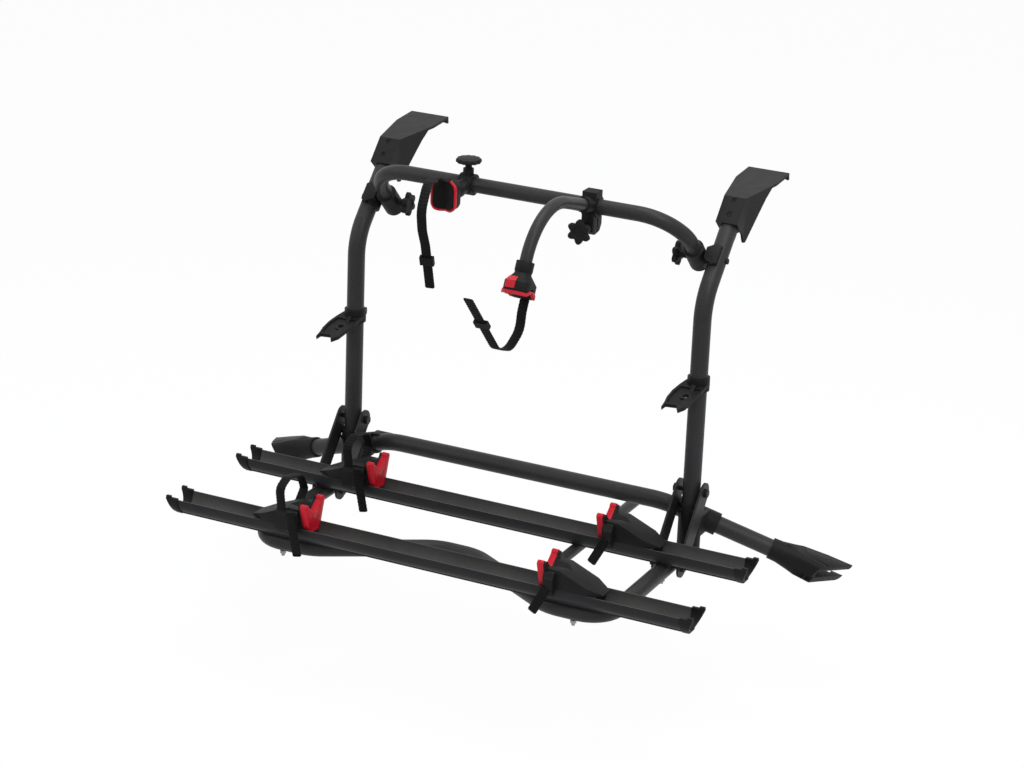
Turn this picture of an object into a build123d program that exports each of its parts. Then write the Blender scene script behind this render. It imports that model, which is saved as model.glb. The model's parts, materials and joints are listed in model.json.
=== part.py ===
"""Rear-door bike carrier for two bikes: posts, folding platform with two wheel rails, crossbar and frame arms.

Everything is drawn in the drawing frame (X along the rails, Y towards the vehicle, Z up, Y = 0 on the post
axes, Z = 0 on the rail lips) and is moved to the door-edge origin when it is written.
"""
from build123d import *
import math
import os

# Driving dimensions, millimetres and degrees

# Tubes
POST_D = 40.0
POST_WALL = 2.0
LOWER_D = 40.0
LOWER_WALL = 2.0
BAR_D = 34.0
BAR_WALL = 2.0
ARM_D = 27.0
ARM_WALL = 2.0
PLATFORM_D = 38.0
PLATFORM_WALL = 2.0

# Posts
POST_X = 430.0
POST_BOTTOM_Z = -78.0
POST_CORNER_Z = 523.0
POST_LEAN = 42.0
POST_BEND_R = 120.0
POST_TOP_RUN = 226.0

# Rails
RAIL_LENGTH = 1254.0
RAIL_WIDTH = 67.0
RAIL_DEPTH = 38.0
RAIL_WALL = 2.5
REAR_RAIL_Y = -144.0
FRONT_RAIL_Y = -442.0
CAP_WALL = 2.5
CAP_OVERLAP = 16.0
CAP_REACH = 13.0
CAP_SLANT = 22.0

# Platform tube, seen from above
LOBE_Y = -440.0
LOBE_CORNER_R = 66.0
LOBE_INNER_X = 290.0
DIP_Y = -292.0
DIP_X = 48.0
DIP_R = 110.0

# Lower tube and feet
LOWER_CORNER_X = 350.0
LOWER_BEND_R = 150.0
ARM_BACK = 0.28
ARM_DROP = 0.365
LOWER_END_X = 640.0
FOOT_START_X = 586.0
FOOT_LENGTH = 176.0
FOOT_SOCKET = 56.0
FOOT_BLADE_W = 96.0
FOOT_BLADE_H = 46.0
FOOT_THROAT_H = 20.0
FOOT_THROAT_DEPTH = 62.0

# Hinge plates
HINGE_Z = 82.0
PLATE_W = 46.0
PLATE_T = 5.0
PLATE_OFFSET = 30.0
PLATE_FOOT_Y = -108.0
HINGE_BOLT_D = 10.0

# Crossbar and its clamps
BAR_Y = -38.0
BAR_Z = 707.0
BAR_DIP = 45.0
BAR_CORNER_R = 100.0
CLAMP_WALL = 6.0
CLAMP_LENGTH = 46.0
SOCKET_REACH = 34.0
CLAMP_BOLT_D = 8.0
CLAMP_BOLT_GRIP = 14.0
CLAMP_BOLT_HEAD = 3.0
CLAMP_BOLT_HEAD_D = 13.0
KNOB_D = 50.0
KNOB_T = 20.0
KNOB_STEM_D = 18.0

# Top hooks
HOOK_W = 98.0
HOOK_NEAR_Y = 212.0
HOOK_NEAR_Z = 718.0
HOOK_FAR_Y = 345.0
HOOK_FAR_Z = 738.0
HOOK_WEB_Y = 250.0
HOOK_T = 6.0
HOOK_LIP = 16.0
HOOK_SCREW_D = 8.0
HOOK_SCREWS_ALONG = (208.0, 243.0)

# Latch hooks
LATCH_Z = 336.0
LATCH_REACH = 118.0
LATCH_T = 9.0
LATCH_SLOPE = 15.0
LATCH_RING_H = 30.0
LATCH_EYE_D = 14.0

# Wheel holders
HOLDER_X = 272.0
HOLDER_LENGTH = 158.0
CHOCK_T = 15.0
CHOCK_TOP = 60.0
CHOCK_TIP_Y = 44.0
CHOCK_TINE_W = 15.0
CHOCK_NOTCH = 30.0
CHOCK_RIB = 1.6
RAMP_TOP = 44.0
STRAP_W = 24.0
STRAP_T = 3.0
STRAP_X = {"left": 338.0, "right": 308.0}

# Frame arms
SHORT_ARM_X = -131.0
LONG_ARM_X = 172.0
ARM_CLAMP_W = 34.0
ARM_CLAMP_WALL = 7.0
ARM_RISE = 16.5
ARM_BEND_R = 150.0
ARM_KNEE_Y = -305.0
ARM_END_LEAN = 25.5
ARM_END_Z = 648.0
JAW_W = 58.0
JAW_H = 68.0
JAW_LENGTH = 62.0
JAW_COLLAR_D = 39.0
JAW_NOTCH = 12.0
SHORT_STEM = 22.0

# Stay bar and rail bolts
STAY_X = 222.0
STAY_D = 25.0
STAY_REACH = 215.0
RAIL_BOLT_D = 8.0
RAIL_BOLT_HEAD = 5.0
LOBE_BOLT_X = 356.0

# Clearances
RUNNING = 0.05      # pin or tube in a bore that turns
SLIP = 0.3          # faces that pass each other
SEAT = 0.2          # moulded piece over a tube

# Derived places
LOWER_Y = POST_D / 2 + LOWER_D / 2 + 2.0
LOWER_Z = 24.5
RAIL_BOTTOM = -RAIL_DEPTH
PLATFORM_Z = RAIL_BOTTOM - PLATFORM_D / 2
SIDE_END_Y = -(POST_D / 2 + CLAMP_WALL + SLIP)
LEAN = math.radians(POST_LEAN)
DIP = math.radians(BAR_DIP)
POST_TOP_DIR = Vector(0, math.sin(LEAN), math.cos(LEAN))
POST_CORNER = Vector(0, 0, POST_CORNER_Z)
POST_TOP = POST_CORNER + POST_TOP_DIR * POST_TOP_RUN
BAR_END_DIR = Vector(0, math.cos(DIP), -math.sin(DIP))
BAR_END_X = POST_X - POST_D / 2 - CLAMP_WALL - SLIP - CLAMP_WALL - BAR_D / 2
HOOK_SLOPE = (HOOK_FAR_Z - HOOK_NEAR_Z) / (HOOK_FAR_Y - HOOK_NEAR_Y)
HOOK_SEAT_Y = (HOOK_WEB_Y + HOOK_FAR_Y - HOOK_T) / 2
HOOK_SEAT = Vector(0, HOOK_SEAT_Y, HOOK_NEAR_Z - HOOK_T + HOOK_SLOPE * (HOOK_SEAT_Y - HOOK_NEAR_Y))


def crossing_point():
    """Where the crossbar end passes the post in side view: the clamp bolt goes through it."""
    ratio = math.tan(LEAN)
    fall = math.tan(DIP)
    y = (BAR_Z - POST_CORNER_Z + BAR_Y * fall) / (1 / ratio + fall)
    return Vector(0, y, POST_CORNER_Z + y / ratio)


CROSS = crossing_point()
BAR_CORNER = Vector(0, BAR_Y, BAR_Z)
BAR_END = CROSS + BAR_END_DIR * (SOCKET_REACH - CLAMP_WALL)

PARTS = {}


def keep(name, *solids):
    """Write one node: its solids in the door-edge frame."""
    moved = [Location(-HOOK_SEAT) * s for s in solids]
    PARTS[name] = moved[0] if len(moved) == 1 else Compound(children=moved)


def mirror_x(shape):
    return mirror(shape, about=Plane.YZ)


def both(maker):
    """Left and right copies of a piece drawn on the right-hand side."""
    right = maker()
    return mirror_x(right), right


def rod(start, end, diameter):
    """Solid round bar between two points."""
    start, end = Vector(start), Vector(end)
    axis = end - start
    return extrude(Plane(origin=start, z_dir=axis) * Circle(diameter / 2), amount=axis.length)


def bent_bar(points, radii, diameter):
    """Solid round bar along straight runs joined by tangent arcs."""
    path = FilletPolyline(*points, radius=radii)
    return sweep(Plane(origin=path @ 0, z_dir=path % 0) * Circle(diameter / 2), path=path)


def bent_tube(points, radii, diameter, wall):
    return bent_bar(points, radii, diameter) - bent_bar(points, radii, diameter - 2 * wall)


def single(shape):
    """The shape as one solid."""
    solids = shape.solids()
    return max(solids, key=lambda s: s.volume)


def slab(outline, thickness, centre_x):
    """Plate with its outline in the YZ plane and its thickness along X."""
    return extrude(Plane(origin=(centre_x - thickness / 2, 0, 0), x_dir=(0, 1, 0), z_dir=(1, 0, 0)) * outline,
                   amount=thickness)


def at_x(shape, x):
    return Location((x, 0, 0)) * shape


def post():
    bottom = (POST_X, 0, POST_BOTTOM_Z)
    corner = (POST_X, 0, POST_CORNER_Z)
    top = (POST_X, POST_TOP.Y, POST_TOP.Z)
    tube = bent_tube([bottom, corner, top], POST_BEND_R, POST_D, POST_WALL)
    tube -= rod((POST_X - POST_D, 0, HINGE_Z), (POST_X + POST_D, 0, HINGE_Z), HINGE_BOLT_D + 2 * RUNNING)
    face = Vector(0, -math.cos(LEAN), math.sin(LEAN))
    hole = Vector(POST_X, 0, 0) + POST_CORNER + POST_TOP_DIR * HOOK_SCREWS_ALONG[0]
    return single(tube - rod(hole, hole + face * POST_D, HOOK_SCREW_D))


def post_plug():
    inner = POST_D / 2 - POST_WALL - SEAT
    stem = Location((POST_X, 0, POST_BOTTOM_Z)) * Cylinder(inner, 18, align=(Align.CENTER, Align.CENTER, Align.MIN))
    cap = Location((POST_X, 0, POST_BOTTOM_Z)) * Cylinder(POST_D / 2, 4, align=(Align.CENTER, Align.CENTER, Align.MAX))
    cap = chamfer(cap.edges().group_by(Axis.Z)[0], 1.5)
    return stem + cap


def lower_point(x):
    """Centre of the lower tube's outer arm at the given distance from the middle."""
    out = abs(x) - LOWER_CORNER_X
    return Vector(x, LOWER_Y + ARM_BACK * out, LOWER_Z - ARM_DROP * out)


def lower_tube():
    points = [lower_point(-LOWER_END_X), lower_point(-LOWER_CORNER_X), lower_point(LOWER_CORNER_X),
              lower_point(LOWER_END_X)]
    return single(bent_tube(points, LOWER_BEND_R, LOWER_D, LOWER_WALL))


def tee_joint():
    """Clamp block that holds the post upright against the lower tube."""
    wall = CLAMP_WALL
    ring_top, ring_bottom = HINGE_Z - PLATE_W / 2 - 4, POST_BOTTOM_Z + 8
    height = ring_top - ring_bottom
    collar = Location((POST_X, 0, ring_bottom)) * Cylinder(
        POST_D / 2 + wall, height, align=(Align.CENTER, Align.CENTER, Align.MIN))
    inner, outer = lower_point(POST_X - 34), lower_point(POST_X + 66)
    sleeve = rod(inner, outer, LOWER_D + 2 * wall)
    middle = lower_point(POST_X)
    web = Location((POST_X, middle.Y / 2, middle.Z)) * Box(POST_D + wall, middle.Y, LOWER_D + wall)
    body = collar + sleeve + web
    body -= rod((POST_X, 0, ring_bottom - 5), (POST_X, 0, ring_top + 5), POST_D + 2 * SEAT)
    body -= rod(lower_point(POST_X - 80), lower_point(POST_X + 120), LOWER_D + 2 * SEAT)
    return single(body)


def foot():
    """Moulded foot on the end of the lower tube with a jaw for the door's lower edge."""
    start = lower_point(FOOT_START_X)
    axis = (lower_point(LOWER_END_X) - start).normalized()
    end = start + axis * FOOT_LENGTH
    up = Vector(0, 0, 1)
    base = Plane(origin=start, z_dir=axis, x_dir=up.cross(axis))
    tip = Plane(origin=end, z_dir=axis, x_dir=up.cross(axis))
    middle = Plane(origin=start + axis * (LOWER_END_X - FOOT_START_X), z_dir=axis, x_dir=up.cross(axis))
    body = loft([base * RectangleRounded(FOOT_SOCKET, FOOT_SOCKET, FOOT_SOCKET / 2 - 8),
                 middle * RectangleRounded(FOOT_SOCKET + 16, FOOT_SOCKET, 18),
                 tip * RectangleRounded(FOOT_BLADE_W, FOOT_BLADE_H, 8)])
    bore_end = start + axis * (lower_point(LOWER_END_X) - start).length
    body -= rod(start - axis * 5, bore_end + axis * SLIP, LOWER_D + 2 * SEAT)
    throat = Plane(origin=end - axis * FOOT_THROAT_DEPTH, z_dir=axis, x_dir=up.cross(axis))
    body -= extrude(throat * RectangleRounded(FOOT_BLADE_W * 2, FOOT_THROAT_H, 6), amount=FOOT_THROAT_DEPTH + 10)
    return single(body)


def plate_outline(length):
    """Straight bar with round ends from the hinge bolt down along -Y and -Z, with its two bolt holes."""
    direction = Vector(PLATE_FOOT_Y, PLATFORM_Z - HINGE_Z).normalized()
    angle = math.degrees(math.atan2(direction.Y, direction.X))
    far = Vector(0, HINGE_Z) + direction * length
    bar = Location((far.X / 2, (HINGE_Z + far.Y) / 2)) * (
        Rotation(0, 0, angle) * SlotCenterToCenter(length, PLATE_W))
    holes = [Location((0, HINGE_Z)) * Circle(HINGE_BOLT_D / 2 + RUNNING),
             Location((far.X, far.Y)) * Circle(HINGE_BOLT_D / 2 + RUNNING)]
    return bar - holes


PLATE_LENGTH = math.hypot(PLATE_FOOT_Y, PLATFORM_Z - HINGE_Z)


def hinge_plate(side):
    return single(slab(plate_outline(PLATE_LENGTH), PLATE_T, POST_X + side * PLATE_OFFSET))


def bolt_along_x(y, z, x0, x1, diameter, head):
    """Bolt with a domed head and a nut, along X."""
    shank = rod((x0, y, z), (x1, y, z), diameter)
    head_disc = rod((x1, y, z), (x1 + head * 0.35, y, z), head)
    head_disc = fillet(head_disc.edges().group_by(Axis.X)[-1], head * 0.12)
    nut = extrude(Plane(origin=(x0, y, z), z_dir=(-1, 0, 0)) * RegularPolygon(head / 2, 6), amount=head * 0.45)
    return shank + head_disc + nut


def hinge_bolt(y, z):
    reach = PLATE_OFFSET + PLATE_T / 2 + SLIP
    return bolt_along_x(y, z, POST_X - reach, POST_X + reach, HINGE_BOLT_D, 20)


def platform_tube():
    side = [(POST_X, SIDE_END_Y, PLATFORM_Z), (POST_X, LOBE_Y, PLATFORM_Z)]
    half = side + [(LOBE_INNER_X, LOBE_Y, PLATFORM_Z), (DIP_X, DIP_Y, PLATFORM_Z)]
    points = half + [(-x, y, z) for x, y, z in reversed(half)]
    radii = [LOBE_CORNER_R, DIP_R, DIP_R, DIP_R, DIP_R, LOBE_CORNER_R]
    tube = bent_tube(points, radii, PLATFORM_D, PLATFORM_WALL)
    tube -= rod((-2 * POST_X, PLATE_FOOT_Y, PLATFORM_Z), (2 * POST_X, PLATE_FOOT_Y, PLATFORM_Z), HINGE_BOLT_D)
    for x, y in rail_bolt_places():
        tube -= rod((x, y, PLATFORM_Z - PLATFORM_D), (x, y, PLATFORM_Z + PLATFORM_D), RAIL_BOLT_D)
    return single(tube)


def rail_bolt_places():
    """Plan positions of the bolts that hold the rails to the platform tube."""
    return [(side * x, y) for side in (-1, 1) for x, y in ((POST_X, REAR_RAIL_Y), (LOBE_BOLT_X, FRONT_RAIL_Y))]


def trough(width, depth):
    """Lower half of an ellipse in the YZ plane."""
    return Ellipse(width / 2, depth) & (Location((0, -depth)) * Rectangle(2 * width, 2 * depth))


def rail_section():
    outer = trough(RAIL_WIDTH, RAIL_DEPTH)
    inner = trough(RAIL_WIDTH - 2 * RAIL_WALL, RAIL_DEPTH - RAIL_WALL)
    keel = Location((0, RAIL_BOTTOM + 3)) * Rectangle(26, 6)
    return (outer + keel) - inner


def rail(y):
    section = Plane(origin=(-RAIL_LENGTH / 2, y, 0), x_dir=(0, 1, 0), z_dir=(1, 0, 0)) * rail_section()
    channel = extrude(section, amount=RAIL_LENGTH)
    for x, hole_y in rail_bolt_places():
        if abs(hole_y - y) < RAIL_WIDTH / 2:
            channel -= rod((x, hole_y, RAIL_BOTTOM - 5), (x, hole_y, 0), RAIL_BOLT_D)
    return single(channel)


def end_cap(y):
    """Scoop-shaped cap over the right-hand end of a rail, with its end cut on a slant."""
    wall = CAP_WALL
    x0 = RAIL_LENGTH / 2 - CAP_OVERLAP
    length = CAP_OVERLAP + CAP_REACH
    section = Location((0, 0)) * (trough(RAIL_WIDTH + 2 * (wall + SEAT), RAIL_DEPTH + wall + SEAT))
    lips = Location((0, wall / 2)) * Rectangle(RAIL_WIDTH + 2 * (wall + SEAT), wall + 2 * SEAT)
    shell = (section + lips)
    cap = extrude(Plane(origin=(x0, y, 0), x_dir=(0, 1, 0), z_dir=(1, 0, 0)) * shell, amount=length)
    channel = Location((0, 0)) * trough(RAIL_WIDTH - 2 * (RAIL_WALL + wall), RAIL_DEPTH - RAIL_WALL - wall)
    channel += Location((0, 10)) * Rectangle(RAIL_WIDTH - 2 * (RAIL_WALL + wall), 20)
    cap -= extrude(Plane(origin=(x0 - 1, y, 0), x_dir=(0, 1, 0), z_dir=(1, 0, 0)) * channel, amount=length + 2)
    rail_slot = (trough(RAIL_WIDTH + 2 * SEAT, RAIL_DEPTH + SEAT)
                 - trough(RAIL_WIDTH - 2 * (RAIL_WALL + SEAT), RAIL_DEPTH - RAIL_WALL - SEAT))
    rail_slot += Location((0, RAIL_BOTTOM + 3 - SEAT / 2)) * Rectangle(26 + 2 * SEAT, 6 + SEAT)
    cap -= extrude(Plane(origin=(x0 - 1, y, 0), x_dir=(0, 1, 0), z_dir=(1, 0, 0)) * rail_slot,
                   amount=CAP_OVERLAP + 1 + SEAT)
    tip_x = x0 + length
    drop = RAIL_DEPTH + 3 * wall
    cutter = make_face(Plane.XZ * Polyline((tip_x, 0), (tip_x + 30, 0), (tip_x + 30, -drop),
                                           (tip_x - drop * math.tan(math.radians(CAP_SLANT)), -drop), close=True))
    cap -= Location((0, y, 0)) * extrude(cutter, amount=RAIL_WIDTH, both=True)
    return single(cap)


def holder_body(y):
    """Ramp of a wheel holder, astride the rail on the right-hand side."""
    x0, x1 = HOLDER_X + CHOCK_T, HOLDER_X + HOLDER_LENGTH
    profile = make_face(Plane.XZ * Polyline((x0, SLIP), (x0, RAMP_TOP), (x0 + 18, RAMP_TOP), (x1 - 6, 9),
                                            (x1, 3), (x1, SLIP), close=True))
    ramp = Location((0, y, 0)) * extrude(profile, amount=RAIL_WIDTH / 2, both=True)
    keel_width = RAIL_WIDTH - 2 * RAIL_WALL - 2 * SLIP
    floor = RAIL_BOTTOM + RAIL_WALL + 1.2 + RAIL_BOLT_HEAD + 1
    section = trough(keel_width, RAIL_DEPTH - RAIL_WALL - SLIP) & (Location((0, floor / 2)) * Rectangle(100, -floor))
    keel = Plane(origin=(x0, y, 0), x_dir=(0, 1, 0), z_dir=(1, 0, 0)) * (
        section + Location((0, 2)) * Rectangle(keel_width, 4))
    body = ramp + extrude(keel, amount=x1 - x0 - 12)
    groove = make_face(Plane.YZ * Polyline((-26, CHOCK_TOP), (26, CHOCK_TOP), (0, 16), close=True))
    body -= Location((x0 - 1, y, 0)) * extrude(groove, amount=46, dir=(1, 0, 0))
    for x in (STRAP_X["left"], STRAP_X["right"]):
        body += Location((x, y + RAIL_WIDTH / 2 + 4, 12)) * Box(STRAP_W + 4, 9, 16)
    return single(body)


def chock(y):
    """Forked face that the tyre rests against, ribbed on the tyre's side."""
    tip, w = CHOCK_TIP_Y, CHOCK_TINE_W / 2
    top, low = CHOCK_TOP, CHOCK_TOP - CHOCK_NOTCH
    outline = make_face(Plane.YZ * Polyline(
        (-tip - w, top - 8), (-tip - 2, top), (-tip + w, top - 6), (0, low), (tip - w, top - 6), (tip + 2, top),
        (tip + w, top - 8), (26, SLIP), (22, -13), (-22, -13), (-26, SLIP), close=True))
    fork = extrude(outline, amount=CHOCK_T - CHOCK_RIB, dir=(1, 0, 0))
    for place in (-0.6, 0.0, 0.6):
        rib = make_face(Plane.XY * Polyline((-CHOCK_RIB, 24 * place), (0.5, 24 * place - 4), (0.5, 24 * place + 4),
                                            close=True))
        fork += Location((0, 0, -10)) * extrude(rib, amount=low + 6 + 16 * abs(place), dir=(0, 0, 1))
    return single(Location((HOLDER_X + CHOCK_RIB, y, 0)) * fork)


def star_knob(origin, direction):
    """Five-lobed knob with a stem along the direction, its face away from the origin."""
    plane = Plane(origin=origin, z_dir=direction)
    lobes = Circle(KNOB_D / 2 - 7)
    for place in PolarLocations(KNOB_D / 2 - 8, 5):
        lobes += place * Circle(8)
    hub = extrude(plane * Circle(KNOB_STEM_D / 2), amount=8)
    head = extrude(plane.offset(8) * lobes, amount=KNOB_T - 8)
    return hub + head


def bar_ring(x):
    """Ring that turns on the crossbar's straight run."""
    outer = Location((x, BAR_Y, BAR_Z)) * (Rotation(0, 90, 0) * Cylinder(BAR_D / 2 + ARM_CLAMP_WALL, ARM_CLAMP_W))
    return outer


def bar_bore(x):
    return Location((x, BAR_Y, BAR_Z)) * (Rotation(0, 90, 0) * Cylinder(BAR_D / 2 + RUNNING, 4 * ARM_CLAMP_W))


def jaw_parts(origin, direction):
    """Jaw body, coloured rim and rubber pad along one direction; the open side faces the bicycle tube."""
    base = Plane(origin=origin, z_dir=direction, x_dir=(1, 0, 0))
    length, notch = JAW_LENGTH, JAW_NOTCH
    collar = extrude(base * Circle(JAW_COLLAR_D / 2), amount=24)
    flare = loft([base.offset(20) * Circle(JAW_COLLAR_D / 2 - 1),
                  base.offset(length - 16) * RectangleRounded(JAW_W, JAW_H, 14)])
    shell = extrude(base.offset(length - 16) * RectangleRounded(JAW_W, JAW_H, 14), amount=8)
    body = collar + flare + shell
    rim_face = base.offset(length - 8) * (RectangleRounded(JAW_W + 4, JAW_H + 4, 15)
                                          - RectangleRounded(JAW_W - 12, JAW_H - 12, 9))
    rim = extrude(rim_face, amount=8 + notch)
    pad = extrude(base.offset(length - 8) * RectangleRounded(JAW_W - 12.4, JAW_H - 12.4, 8.8), amount=4 + notch)
    side = Plane(origin=base.origin, x_dir=base.y_dir, z_dir=base.x_dir)
    groove = side * make_face(Polyline((-JAW_H / 2 + 8, length + 30), (0, length - 1), (JAW_H / 2 - 8, length + 30),
                                       close=True))
    groove = extrude(groove, amount=JAW_W, both=True)
    return single(body), single(rim - groove), single(pad - groove)


def knob_bolt(origin, direction, length):
    """Star knob with its bolt pointing back along the direction."""
    knob = star_knob(origin, direction)
    start = Vector(origin)
    bolt = rod(start - Vector(direction) * length, start + Vector(direction) * 2, CLAMP_BOLT_D)
    return single(knob + bolt)


def short_arm_clamp():
    x, top = SHORT_ARM_X, BAR_Z + BAR_D / 2 + ARM_CLAMP_WALL + 12
    body = bar_ring(x)
    body += rod((x, BAR_Y, BAR_Z), (x, BAR_Y - BAR_D / 2 - ARM_CLAMP_WALL - SHORT_STEM, BAR_Z), ARM_D + 6)
    body += rod((x, BAR_Y, BAR_Z), (x, BAR_Y, top), 24)
    body -= bar_bore(x)
    body -= rod((x, BAR_Y, BAR_Z), (x, BAR_Y, top + 1), CLAMP_BOLT_D + 2 * RUNNING)
    return single(body)


def short_arm_knob():
    top = BAR_Z + BAR_D / 2 + ARM_CLAMP_WALL + 12
    reach = top + SLIP - (BAR_Z + BAR_D / 2 + SLIP)
    return knob_bolt((SHORT_ARM_X, BAR_Y, top + SLIP), (0, 0, 1), reach)


def short_arm_jaw():
    return jaw_parts((SHORT_ARM_X, BAR_Y - BAR_D / 2 - ARM_CLAMP_WALL - SHORT_STEM, BAR_Z), (0, -1, 0))


def arm_run():
    """Centre line of the long arm: rises from the bar, turns over and ends pointing down."""
    rise, lean = math.radians(ARM_RISE), math.radians(ARM_END_LEAN)
    start_y = BAR_Y - BAR_D / 2 - ARM_CLAMP_WALL - 2
    start = (LONG_ARM_X, start_y, BAR_Z + (BAR_Y - start_y) * math.tan(rise))
    knee = (LONG_ARM_X, ARM_KNEE_Y, BAR_Z + (BAR_Y - ARM_KNEE_Y) * math.tan(rise))
    drop = knee[2] - ARM_END_Z
    end = (LONG_ARM_X, ARM_KNEE_Y - drop * math.tan(lean), ARM_END_Z)
    return start, knee, end


def long_arm_tube():
    return single(bent_tube(arm_run(), ARM_BEND_R, ARM_D, ARM_WALL))


def long_arm_clamp():
    x = LONG_ARM_X
    start, knee, _ = arm_run()
    axis = (Vector(knee) - Vector(start)).normalized()
    body = bar_ring(x)
    body += rod(Vector(x, BAR_Y, BAR_Z), Vector(start) + axis * 26, ARM_D + 8)
    lug = Location((x, BAR_Y, BAR_Z - BAR_D / 2 - 22)) * Box(28, 46, 44)
    body += fillet(lug.edges().filter_by(Axis.X).group_by(Axis.Z)[0], 12)
    body -= bar_bore(x)
    body -= rod(Vector(start), Vector(start) + axis * 40, ARM_D + 2 * SEAT)
    body -= Location((x, BAR_Y, BAR_Z - BAR_D / 2 - 25)) * Box(40, 4, 56)
    body -= rod((x, BAR_Y - 60, BAR_Z - 44), (x, BAR_Y + 60, BAR_Z - 44), CLAMP_BOLT_D + 2 * RUNNING)
    return single(body)


def long_arm_knob():
    return knob_bolt((LONG_ARM_X, BAR_Y - 23 - SLIP, BAR_Z - 44), (0, -1, 0), 46 + 2 * SLIP)


def long_arm_jaw():
    start, knee, end = arm_run()
    axis = (Vector(end) - Vector(knee)).normalized()
    body, rim, pad = jaw_parts(Vector(end) - axis * 20, axis)
    return single(body - rod(Vector(end) - axis * 40, Vector(end) + axis * SLIP, ARM_D + 2 * SEAT)), rim, pad


def strap_along(points, radii, origin, turn):
    """Flat strap in a plane through the origin, turned about Z; its points are (forward, up)."""
    line = FilletPolyline(*[(0, -a, b) for a, b in points], radius=radii)
    solid = sweep(Plane(origin=line @ 0, z_dir=line % 0, x_dir=(1, 0, 0)) * Rectangle(STRAP_W, STRAP_T), path=line)
    return Location(origin) * (Rotation(0, 0, turn) * solid)


def strap_keeper(point, angle, origin, turn):
    """Loop that holds the strap's free end."""
    ring = Box(STRAP_W + 7, 10, 22) - Box(STRAP_W + 2 * SLIP, STRAP_T + 2 * SLIP, 30)
    placed = Location((0, -point[0], point[1])) * (Rotation(angle, 0, 0) * ring)
    return Location(origin) * (Rotation(0, 0, turn) * placed)


def stay_bar():
    z = RAIL_BOTTOM - STAY_D / 2 - SLIP
    slope = (LOBE_Y - DIP_Y) / (LOBE_INNER_X - DIP_X)
    weld_y = LOBE_Y + (STAY_X - LOBE_INNER_X) * slope
    run = rod((STAY_X - 40, weld_y - 40 * slope, PLATFORM_Z), (STAY_X + 40, weld_y + 40 * slope, PLATFORM_Z), PLATFORM_D)
    return single(rod((STAY_X, weld_y, z), (STAY_X, STAY_REACH, z), STAY_D) - run)


def stay_pad():
    z = RAIL_BOTTOM - STAY_D / 2 - SLIP
    pad = rod((STAY_X, STAY_REACH, z), (STAY_X, STAY_REACH + 10, z), STAY_D + 6)
    sleeve = rod((STAY_X, STAY_REACH - 16, z), (STAY_X, STAY_REACH, z), STAY_D + 6)
    sleeve -= rod((STAY_X, STAY_REACH - 20, z), (STAY_X, STAY_REACH, z), STAY_D + 2 * SEAT)
    pad = fillet(pad.edges().group_by(Axis.Y)[-1], 4)
    return single(pad + sleeve)


def rail_bolt(x, y):
    """Button-head bolt down through the rail floor and the platform tube, with its nut and stub end."""
    floor = RAIL_BOTTOM + RAIL_WALL + 1.2
    head = Location((x, y, floor)) * Cylinder(7, RAIL_BOLT_HEAD, align=(Align.CENTER, Align.CENTER, Align.MIN))
    bottom = PLATFORM_Z - PLATFORM_D / 2
    shank = rod((x, y, floor + 1), (x, y, bottom - 12), RAIL_BOLT_D)
    nut = extrude(Plane.XY.offset(bottom - 6) * RegularPolygon(7.5, 6), amount=6)
    return single(head + shank + Location((x, y, 0)) * nut)


def crossbar():
    def end(x):
        return (x, BAR_END.Y, BAR_END.Z)
    points = [end(-BAR_END_X), (-BAR_END_X, BAR_Y, BAR_Z), (BAR_END_X, BAR_Y, BAR_Z), end(BAR_END_X)]
    tube = bent_tube(points, BAR_CORNER_R, BAR_D, BAR_WALL)
    bolt = rod((-POST_X, CROSS.Y, CROSS.Z), (POST_X, CROSS.Y, CROSS.Z), CLAMP_BOLT_D + 2 * SEAT)
    return single(tube - bolt)


def bar_socket():
    """Cup over the crossbar's end; it turns with the bar about the clamp bolt."""
    origin = Vector(BAR_END_X, CROSS.Y, CROSS.Z)
    top, bottom = origin - BAR_END_DIR * SOCKET_REACH, origin + BAR_END_DIR * SOCKET_REACH
    cup = rod(top, bottom, BAR_D + 2 * CLAMP_WALL)
    cup = fillet(cup.edges().filter_by(GeomType.CIRCLE).sort_by(Axis.Z)[0], 9)
    cup -= rod(top - BAR_END_DIR, origin + BAR_END_DIR * (SOCKET_REACH - CLAMP_WALL + SEAT), BAR_D + 2 * SEAT)
    cup -= rod((BAR_END_X - BAR_D, CROSS.Y, CROSS.Z), (BAR_END_X + BAR_D, CROSS.Y, CROSS.Z),
               CLAMP_BOLT_D + 2 * RUNNING)
    return single(cup)


def bar_clamp():
    """Ring round the leaning part of the post with a round boss in front."""
    origin = Vector(POST_X, CROSS.Y, CROSS.Z)
    half = POST_TOP_DIR * (CLAMP_LENGTH / 2)
    ring = rod(origin - half, origin + half, POST_D + 2 * CLAMP_WALL)
    front = Vector(0, -math.cos(LEAN), math.sin(LEAN))
    ring += rod(origin, origin + front * (POST_D / 2 + CLAMP_WALL + 5), 36)
    ring -= rod(origin - half * 2, origin + half * 2, POST_D + 2 * SEAT)
    face_x = BAR_END_X + BAR_D / 2 + CLAMP_WALL + SLIP
    ring -= rod((face_x - 20, CROSS.Y, CROSS.Z), (POST_X, CROSS.Y, CROSS.Z), CLAMP_BOLT_D + 2 * RUNNING)
    ring -= rod((POST_X - POST_D / 2 - SEAT - CLAMP_BOLT_HEAD, CROSS.Y, CROSS.Z), (POST_X, CROSS.Y, CROSS.Z),
                CLAMP_BOLT_HEAD_D + 2 * RUNNING)
    return single(ring & (Location((face_x + 200, CROSS.Y, CROSS.Z)) * Box(400, 400, 400)))


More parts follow.
